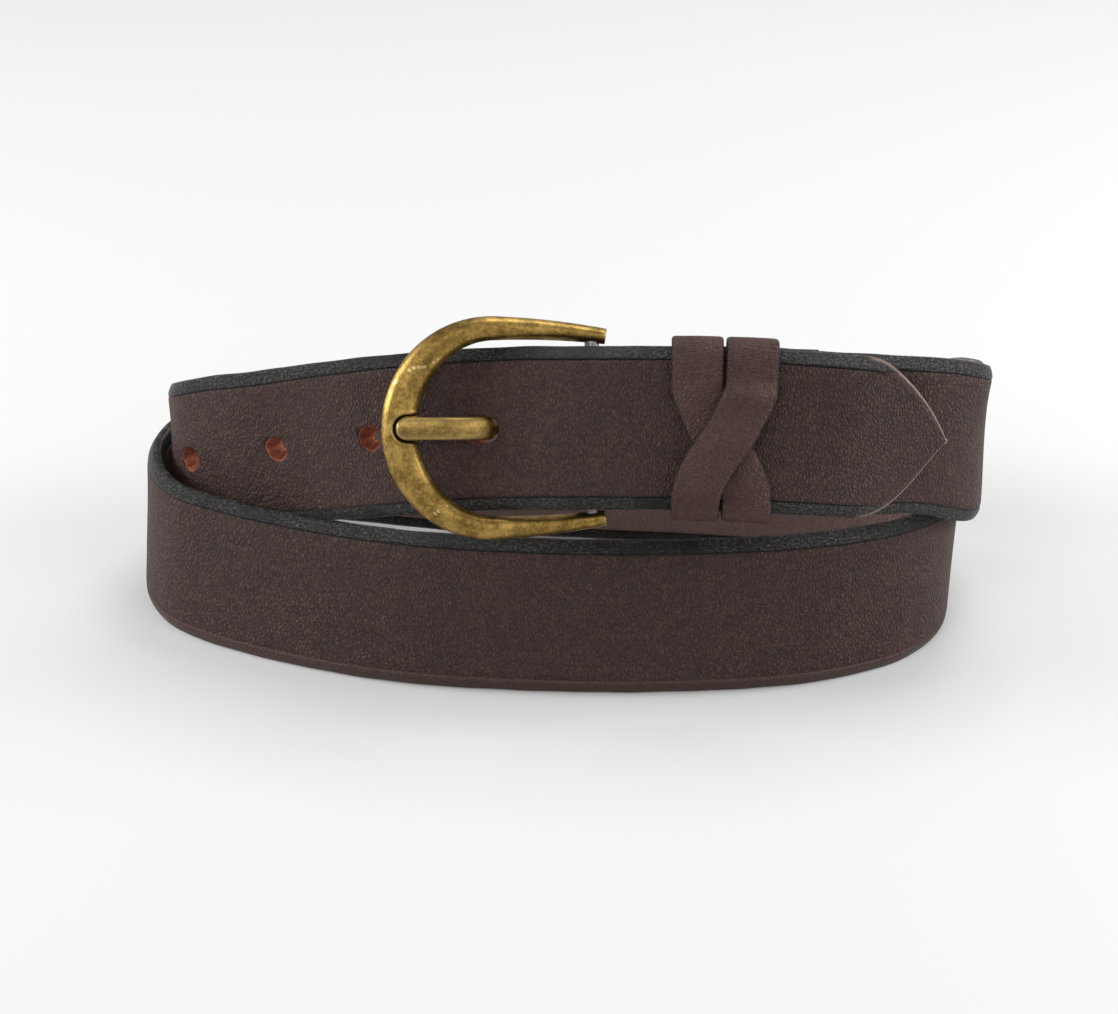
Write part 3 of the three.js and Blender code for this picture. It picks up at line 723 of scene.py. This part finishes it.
def raw_leather():
    """Cut fibre inside the punched holes: undyed russet, darkened towards the middle by painted
    shade where the wall is hollow.
    """
    material, _, links, shader = new_material("punched_leather")
    tree = material.node_tree
    coords = tree.nodes.new("ShaderNodeTexCoord").outputs["Object"]
    fibre = noise(tree, coords, 2600, 6.0, 0.75)
    # Painted shade: where the hole's wall is hollow, by its Pointiness, it is darkened towards a
    # deep brown.
    occluded = tree.nodes.new("ShaderNodeNewGeometry").outputs["Pointiness"]
    colour = mix_colour(tree, ramp(tree, fibre, 0.34, 0.66), (0.13, 0.026, 0.011),
                        (0.72, 0.230, 0.100))
    colour = mix_colour(tree, ramp(tree, occluded, 0.46, 0.52), (0.10, 0.020, 0.010), colour)
    links.new(colour, shader.inputs["Base Color"])
    shader.inputs["Roughness"].default_value = 0.9
    links.new(bump(tree, fibre, 0.9, 0.0003), shader.inputs["Normal"])
    return material


strap_skin = strap_leather()
hole_skin = raw_leather()
strap.data.materials.append(strap_skin)
hole_cutter = join(cutters, "hole_cutters")
hole_cutter.data.materials.append(hole_skin)
cut(strap, hole_cutter)
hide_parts("strap")
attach(strap, "strap_body")


# ------------------------------------------------------------------ buckle frame
# A horseshoe of cast brass with a rounded outer face and a bevel inside, plated, darkened
# with patina and rubbed back to bright metal. A notch in its curved end seats the tongue.
frame_reach = 41.2
arm_end = 2.9
arm_width = 3.4
arm_room = 0.4
arm_lift = 0.3
shoulder_width = 5.2
shoulder_room = 1.3
frame_end_width = 7.8
frame_thickness = 4.6
frame_clear = 0.1
frame_bend = 29.0
arm_half = strap_half + arm_room + arm_width / 2
frame_half = strap_half + shoulder_room + shoulder_width / 2
frame_level = strap_thickness / 2 + frame_clear + frame_thickness / 2
tongue_thickness = 2.6
tongue_chamfer = 0.9
tongue_sink = 0.35
rest_level = frame_level + frame_thickness / 2 - tongue_sink


def frame_points():
    """Horseshoe path: straightish arms whose bow grows as the square of the distance from
    the shoulder, then half an ellipse. The section is a D with an inner bevel."""
    end_reach = frame_half * 0.95
    shoulder = end_reach - frame_reach
    x_arm = np.linspace(arm_end, shoulder, 36, endpoint=False)
    bow = (x_arm - shoulder) / (arm_end - shoulder)
    y_arm = mix(frame_half, arm_half, bow**2)
    w_arm = mix(shoulder_width, arm_width, bow)
    turn = np.linspace(0, np.pi, 301)
    turn = turn + 0.22 * np.sin(2 * turn)
    x_end = shoulder - end_reach * np.sin(turn)
    y_end = frame_half * np.cos(turn)
    w_end = mix(shoulder_width, frame_end_width, np.abs(np.sin(turn)) ** 1.5)
    x = np.concatenate([x_arm, x_end, x_arm[::-1]])
    y = np.concatenate([y_arm, y_end, -y_arm[::-1]])
    width = np.concatenate([w_arm, w_end, w_arm[::-1]])
    dx, dy = np.gradient(x), np.gradient(y)
    length = np.hypot(dx, dy)
    across_x, across_y = -dy / length, dx / length
    level = mix(bar_level + arm_lift, frame_level, smooth(-x, 0, frame_bend))
    # Section as (across, height) shares of the half width and half thickness; across is
    # positive towards the inside of the horseshoe.
    knots = np.array([
        [-0.93, -0.55], [-0.74, -0.93], [-0.45, -1.0], [0.45, -1.0], [0.76, -0.93],
        [0.95, -0.55], [1.0, -0.05], [0.93, 0.22], [0.70, 0.72], [0.46, 0.92],
        [0.12, 1.0], [-0.25, 0.97], [-0.60, 0.78], [-0.86, 0.42], [-0.99, -0.02],
    ])
    loop = spline(knots, 6, True, 0.5)
    a = loop[:, 0][None, :] * width[:, None] / 2
    h = loop[:, 1][None, :] * frame_thickness / 2
    px = x[:, None] + across_x[:, None] * a
    py = y[:, None] + across_y[:, None] * a
    pz = level[:, None] + h
    # The notch: the top sinks to the tongue's underside inside its width, with a low bead.
    bed = rest_level - tongue_thickness / 2 - 0.22
    tip_centre = frame_reach + 0.6 - tongue_width / 2
    beyond = np.clip(-px - tip_centre, 0, None)
    from_tongue = np.hypot(beyond, py)
    notch_half = tongue_width / 2 + 0.42
    on_end = smooth(-px, 28, 33)
    inside = 1 - smooth(from_tongue, notch_half - 0.16, notch_half + 0.16)
    pz = mix(pz, np.minimum(pz, bed), inside * on_end)
    bead = np.exp(-(((from_tongue - notch_half - 0.55) / 0.30) ** 2)) * on_end * (h > 0.5)
    pz = pz + 0.16 * bead
    return buckle_place(px, py, pz)


def loop_piece(name, points):
    """A tube whose ends are rounded in by two smaller rings before they close."""
    first, last = points[0], points[-1]
    inward = (points[1].mean(0) - first.mean(0))
    outward = (points[-2].mean(0) - last.mean(0))
    def shrink(ring, share, shift):
        return ring.mean(0) + (ring - ring.mean(0)) * share + shift
    caps = [
        shrink(first, 0.90, -inward * 0.16), shrink(first, 0.97, -inward * 0.10),
    ]
    tails = [
        shrink(last, 0.97, -outward * 0.10), shrink(last, 0.90, -outward * 0.16),
    ]
    stack = np.concatenate([np.array(caps), points, np.array(tails)])
    return tube_piece(name, stack)


buckle_frame = loop_piece("buckle_horseshoe", frame_points())


def worn_metal():
    """Wear and patina of rubbed metal: a patch mask for dark patina, a fine pit height and a
    scratch mask from stretched noise."""
    group, start, end = new_group(
        "worn_metal", [("Vector", "NodeSocketVector", None)],
        [("Patina", "NodeSocketFloat"), ("Pits", "NodeSocketFloat"),
         ("Scratches", "NodeSocketFloat")],
    )
    vector = start.outputs["Vector"]
    broad = noise(group, vector, 240, 6.0, 0.65)
    fine = noise(group, vector, 1500, 4.0, 0.7)
    both = math_node(group, "ADD", math_node(group, "MULTIPLY", broad, 0.62),
                     math_node(group, "MULTIPLY", fine, 0.38))
    group.links.new(ramp(group, both, 0.40, 0.62), end.inputs["Patina"])
    group.links.new(noise(group, vector, 2600, 5.0, 0.75), end.inputs["Pits"])
    lines = noise(group, stretch(group, vector, (0.25, 1.0, 1.0)), 3600, 3.0, 0.6)
    group.links.new(ramp(group, lines, 0.60, 0.70), end.inputs["Scratches"])
    return group


metal_group = worn_metal()


def antique_brass():
    """Olive gold brass: brown-black patina in the lows, bright metal on the rubbed edges."""
    material, _, links, shader = new_material("antique_brass")
    tree = material.node_tree
    coords = tree.nodes.new("ShaderNodeTexCoord").outputs["Object"]
    worn = place_group(tree, metal_group, coords)
    pointing = tree.nodes.new("ShaderNodeNewGeometry").outputs["Pointiness"]
    rubbed = ramp(tree, pointing, 0.51, 0.58)
    colour = mix_colour(tree, worn.outputs["Patina"], (0.160, 0.098, 0.025),
                        (0.41, 0.268, 0.074))
    hollow = math_node(tree, "SUBTRACT", 1.0, ramp(tree, pointing, 0.44, 0.495))
    colour = mix_colour(tree, math_node(tree, "MULTIPLY", hollow, 0.8), colour,
                        (0.030, 0.018, 0.008))
    colour = mix_colour(tree, math_node(tree, "MULTIPLY", rubbed, 0.65), colour,
                        (0.68, 0.52, 0.24))
    colour = mix_colour(tree, math_node(tree, "MULTIPLY", worn.outputs["Scratches"], 0.25),
                        colour, (0.62, 0.48, 0.22))
    links.new(colour, shader.inputs["Base Color"])
    shader.inputs["Metallic"].default_value = 1.0
    rough = math_node(tree, "ADD", 0.30, math_node(tree, "MULTIPLY", worn.outputs["Pits"], 0.26))
    links.new(rough, shader.inputs["Roughness"])
    links.new(bump(tree, worn.outputs["Pits"], 0.35, 0.00008), shader.inputs["Normal"])
    return material


brass_skin = antique_brass()
buckle_frame.data.materials.append(brass_skin)
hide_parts("buckle_frame")
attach(buckle_frame, "buckle_body")


# ------------------------------------------------------------------ bar
# A drawn steel pin across the frame's arms, pressed into a socket in each. The strap's fold
# hides all but its middle, where the tongue turns on it.
def drawn_steel():
    """Grey steel with fine lines drawn along the pin."""
    material, _, links, shader = new_material("bar_steel")
    tree = material.node_tree
    coords = tree.nodes.new("ShaderNodeTexCoord").outputs["Object"]
    worn = place_group(tree, metal_group, coords)
    colour = mix_colour(tree, worn.outputs["Scratches"], (0.30, 0.28, 0.26), (0.52, 0.50, 0.47))
    links.new(colour, shader.inputs["Base Color"])
    shader.inputs["Metallic"].default_value = 1.0
    rough = math_node(tree, "ADD", 0.32, math_node(tree, "MULTIPLY", worn.outputs["Pits"], 0.2))
    links.new(rough, shader.inputs["Roughness"])
    return material


steel_skin = drawn_steel()
bar_node = frame["nodes"]["buckle_bar"]
bar_node.data.materials.clear()
bar_node.data.materials.append(steel_skin)


# ------------------------------------------------------------------ tongue
# A cast brass prong with chamfered sides. Its eye turns on the bar inside the fold; it comes
# up through the billet's hole and rests in the frame's notch.
def tongue_points():
    """The prong's route rises from the bar to the frame; the section is a bar with rounded
    chamfers, which closes to a blunt tip along a quarter ellipse. Where it passes through
    the billet it is waisted to half its width and thickness, to clear the hole as it turns."""
    knots = np.array([
        [0, 0], [-8, 0], [7.5 - bar_to_hole, 0.034], [3.6 - bar_to_hole, 0.183],
        [-0.6 - bar_to_hole, 0.606], [-4 - bar_to_hole, 0.834], [-8 - bar_to_hole, 0.96],
        [-13 - bar_to_hole, 0.989], [-frame_reach - 0.6, 1],
    ])
    knots[:, 1] = mix(bar_level, rest_level, knots[:, 1])
    route = spline(knots, 40, False, 0.5)
    route = route[route[:, 0] < -2.2]
    along = np.gradient(route, axis=0)
    along /= np.linalg.norm(along, axis=1, keepdims=True)
    left = np.concatenate([[0], np.cumsum(np.hypot(*np.diff(route, axis=0).T))])
    left = left[-1] - left
    round_in = np.clip(left / (tongue_width / 2), 0, 1)
    blunt = np.sqrt(np.clip(1 - (1 - round_in) ** 2, 0.02, 1))[:, None]
    blunt_high = np.clip(blunt * 1.6, 0, 1)
    y, z, c = tongue_width / 2, tongue_thickness / 2, tongue_chamfer
    corners = np.array([
        [y, c - z], [y - 0.35, 0.3 - z], [y - c, -z], [c - y, -z], [0.35 - y, 0.3 - z],
        [-y, c - z], [-y, z - c], [-y + 0.28, z - 0.42], [c - y, z - 0.08], [0, z + 0.04],
        [y - c, z - 0.08], [y - 0.28, z - 0.42], [y, z - c],
    ])
    neck = (smooth(route[:, 0], -23, -19.5) - smooth(route[:, 0], -14, -9))[:, None]
    a = corners[:, 0][None, :] * blunt * (1 - 0.50 * neck**2)
    h = corners[:, 1][None, :] * blunt_high * (1 - 0.5 * neck)
    px = route[:, 0][:, None] + along[:, 1][:, None] * h
    pz = route[:, 1][:, None] - along[:, 0][:, None] * h
    return px, a, pz


def eye_points():
    """A barrel round the bar: a rounded section turned once about the bar's axis."""
    inner, outer, half = bar_radius + gap, eye_radius, tongue_width / 2
    knots = np.array([
        [inner, -half + 0.3], [inner + 0.3, -half], [outer - 0.5, -half], [outer, -half + 0.5],
        [outer, half - 0.5], [outer - 0.5, half], [inner + 0.3, half], [inner, half - 0.3],
    ])
    angle = np.linspace(0, 2 * np.pi, 48, endpoint=False)[:, None]
    radius, y = knots[:, 0][None, :], knots[:, 1][None, :] + 0 * angle
    return buckle_place(radius * np.cos(angle), y, bar_level + radius * np.sin(angle))


prong = tube_piece("prong_part", buckle_place(*tongue_points()))
eye = tube_piece("eye_part", eye_points(), closed=True)
tongue = join([prong, eye], "buckle_tongue")
tongue.data.polygons.foreach_set("use_smooth", np.full(len(tongue.data.polygons), True))
tongue.data.materials.append(brass_skin)
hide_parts("tongue")
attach(tongue, "tongue_body")


# ------------------------------------------------------------------ keeper
# One narrow strip of the same hide, wound twice round the strap. Its two front runs cross,
# its two back runs lie side by side in the pocket under the tab.
def keeper_points():
    """Twice round a squared oval, sqrt-powered so that it hugs the strap; each turn sways by
    a sine to its own side of the crossing, and the second lifts over the first."""
    half = keeper_thickness / 2
    front_level = billet_top + loose_gap + half
    back_level = -strap_thickness / 2 - gap - half
    reach = strap_half + loose_gap + half
    middle, deep = (front_level + back_level) / 2, (front_level - back_level) / 2
    steps = 132
    turn = np.linspace(0, 4 * np.pi, 2 * steps, endpoint=False)
    over = turn >= 2 * np.pi
    front = np.mod(turn, 2 * np.pi) < np.pi
    squared = lambda value: np.sign(value) * np.abs(value) ** (2 / 7)
    w = reach * squared(np.cos(turn))
    n = middle + deep * squared(np.sin(turn))
    lift_end = strap_half - cross_drop - gap
    sway_half = lift_end - 1.2
    from_cross = w + cross_drop
    share = np.clip(from_cross / sway_half, -1, 1)
    sway = np.where(front, np.sin(np.pi / 2 * share), -1.0)
    s = keeper_place + keeper_sway * sway * np.where(over, 1, -1)
    lift = np.where(over & front, 1 - smooth(np.abs(from_cross), sway_half * 0.8, lift_end), 0)
    route = np.stack([s, n + lift * (keeper_thickness + gap), w], 1)
    # Even steps along the strip, then eased so that its corners are soft.
    closed = np.vstack([route, route[:1]])
    length = np.concatenate([[0], np.cumsum(np.linalg.norm(np.diff(closed, axis=0), axis=1))])
    even = np.linspace(0, length[-1], 360, endpoint=False)
    route = np.stack([np.interp(even, length, closed[:, k]) for k in range(3)], 1)
    for _ in range(3):
        route = (np.roll(route, 1, 0) + 2 * route + np.roll(route, -1, 0)) / 4
    before, after = np.roll(route, 1, 0), np.roll(route, -1, 0)
    along = unit(after - before)
    out = -unit(np.stack([0 * along[:, 0], after[:, 2] - before[:, 2],
                          before[:, 1] - after[:, 1]], 1))
    out = unit(out - along * np.sum(out * along, 1, keepdims=True))
    across = np.cross(out, along)
    edge = keeper_width / 2
    corners = np.array([
        [edge - 0.25, -half], [0, -half], [0.25 - edge, -half], [-edge, 0.28 - half],
        [-edge, half - 0.55], [0.2 - edge, half - 0.2], [0.7 - edge, half - 0.02],
        [0, half + 0.03], [edge - 0.7, half - 0.02], [edge - 0.2, half - 0.2],
        [edge, half - 0.55], [edge, 0.28 - half],
    ])
    a, h = corners[:, 0][None, :, None], corners[:, 1][None, :, None]
    points = route[:, None, :] + across[:, None, :] * a + out[:, None, :] * h
    run = np.repeat(even[:, None], len(corners), 1)
    return place(points[..., 0], points[..., 1], points[..., 2]), run, a[..., 0] + 0 * run


keeper_place_points, keeper_run, keeper_across = keeper_points()
keeper = tube_piece("crossed_keeper", keeper_place_points, closed=True)
write_uv(keeper, "lay", keeper_run * MM, keeper_across * MM)


def keeper_leather():
    """The strap's leather, thinner, with dark cut edges."""
    material, _, links, shader = new_material("keeper_leather")
    tree = material.node_tree
    lay_uv = uv_vector(tree, "lay")
    _, across = split_pair(tree, lay_uv)
    grain = place_group(tree, grain_group, lay_uv)
    body = mix_colour(tree, ramp(tree, grain.outputs["Blotch"], 0.30, 0.70), hide_brown, hide_light)
    body = mix_colour(tree, math_node(tree, "MULTIPLY", grain.outputs["Flecks"], 0.35),
                      body, hide_fleck)
    fray = noise(tree, lay_uv, 2800, 5.0, 0.7)
    rim = ramp(tree, math_node(tree, "ABSOLUTE", across), (keeper_width / 2 - 0.30) * MM,
               (keeper_width / 2 - 0.04) * MM)
    cut_edge = mix_colour(tree, ramp(tree, fray, 0.45, 0.66), (0.020, 0.012, 0.010),
                          (0.085, 0.050, 0.040))
    links.new(mix_colour(tree, rim, body, cut_edge), shader.inputs["Base Color"])
    shader.inputs["Roughness"].default_value = 0.56
    height = math_node(tree, "ADD", grain.outputs["Height"],
                       math_node(tree, "MULTIPLY", math_node(tree, "MULTIPLY", fray, rim), 1.5))
    links.new(bump(tree, height, 1.0, 0.00040), shader.inputs["Normal"])
    shader.inputs["Specular IOR Level"].default_value = 0.30
    return material


keeper.data.materials.append(keeper_leather())
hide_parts("keeper")
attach(keeper, "keeper_body")


# ------------------------------------------------------------------ stitches
# Two rows of waxed thread, saddle-stitched by hand through the strap and the tab on either
# side of the keeper. Two ends cross in each hole and are drawn tight.
def waxed_thread():
    """Dark waxed thread, mottled by fine noise."""
    material, _, links, shader = new_material("waxed_thread")
    tree = material.node_tree
    coords = tree.nodes.new("ShaderNodeTexCoord").outputs["Object"]
    fuzz = noise(tree, coords, 3000, 4.0, 0.6)
    colour = mix_colour(tree, fuzz, (0.016, 0.011, 0.009), (0.070, 0.050, 0.042))
    links.new(colour, shader.inputs["Base Color"])
    shader.inputs["Roughness"].default_value = 0.6
    links.new(bump(tree, fuzz, 0.5, 0.0001), shader.inputs["Normal"])
    return material


def thread_tube(points, radius):
    """A round thread through points (n, 3); radius has one value for each point."""
    along = unit(np.gradient(points, axis=0))
    side = unit(np.cross(along, bar_along + 0 * along))
    angle = np.linspace(0, 2 * np.pi, 12, endpoint=False)[None, :, None]
    ring = np.cos(angle) * side[:, None, :] + np.sin(angle) * np.cross(along, side)[:, None, :]
    return points[:, None, :] + ring * radius[:, None, None]


thread_radius = thread_diameter / 2
stitch_count = 7
stitch_margin = 4.0
stitch_pitch = (strap_width - 2 * stitch_margin) / (stitch_count - 1)
groove_floor = strap_thickness / 2 - 2 * thread_radius - gap
stitch_front = groove_floor + gap + thread_radius
stitch_back = tab_level - fold_thickness / 2 - gap - thread_radius
stitch_span = (stitch_count - 1) * stitch_pitch / 2
thread_skin = waxed_thread()
for name, row in (("stitch_row_near", near_row), ("stitch_row_far", far_row)):
    w = np.linspace(-stitch_span, stitch_span, 121)
    dip = np.abs(np.sin(np.pi * (w + stitch_span) / stitch_pitch))
    plump = thread_radius * (0.80 + 0.17 * np.sqrt(dip)) * MM
    parts = []
    for level in (stitch_front, stitch_back):
        run = place(row + 0 * w, level + 0 * w, w)
        parts.append(tube_piece("run_part", thread_tube(run, plump)))
    for k in range(stitch_count):
        at_w = -stitch_span + k * stitch_pitch
        n = np.linspace(stitch_back, stitch_front, 9)
        leg = place(row + 0 * n, n, at_w + 0 * n)
        leg_radius = np.full(9, thread_radius * 0.75 * MM)
        parts.append(tube_piece("leg_part", thread_tube(leg, leg_radius)))
    thread = join(parts, name.replace("stitch_row", "saddle_stitches"))
    thread.data.polygons.foreach_set("use_smooth", np.full(len(thread.data.polygons), True))
    thread.data.materials.append(thread_skin)
    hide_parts(name)
    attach(thread, "strap_body")
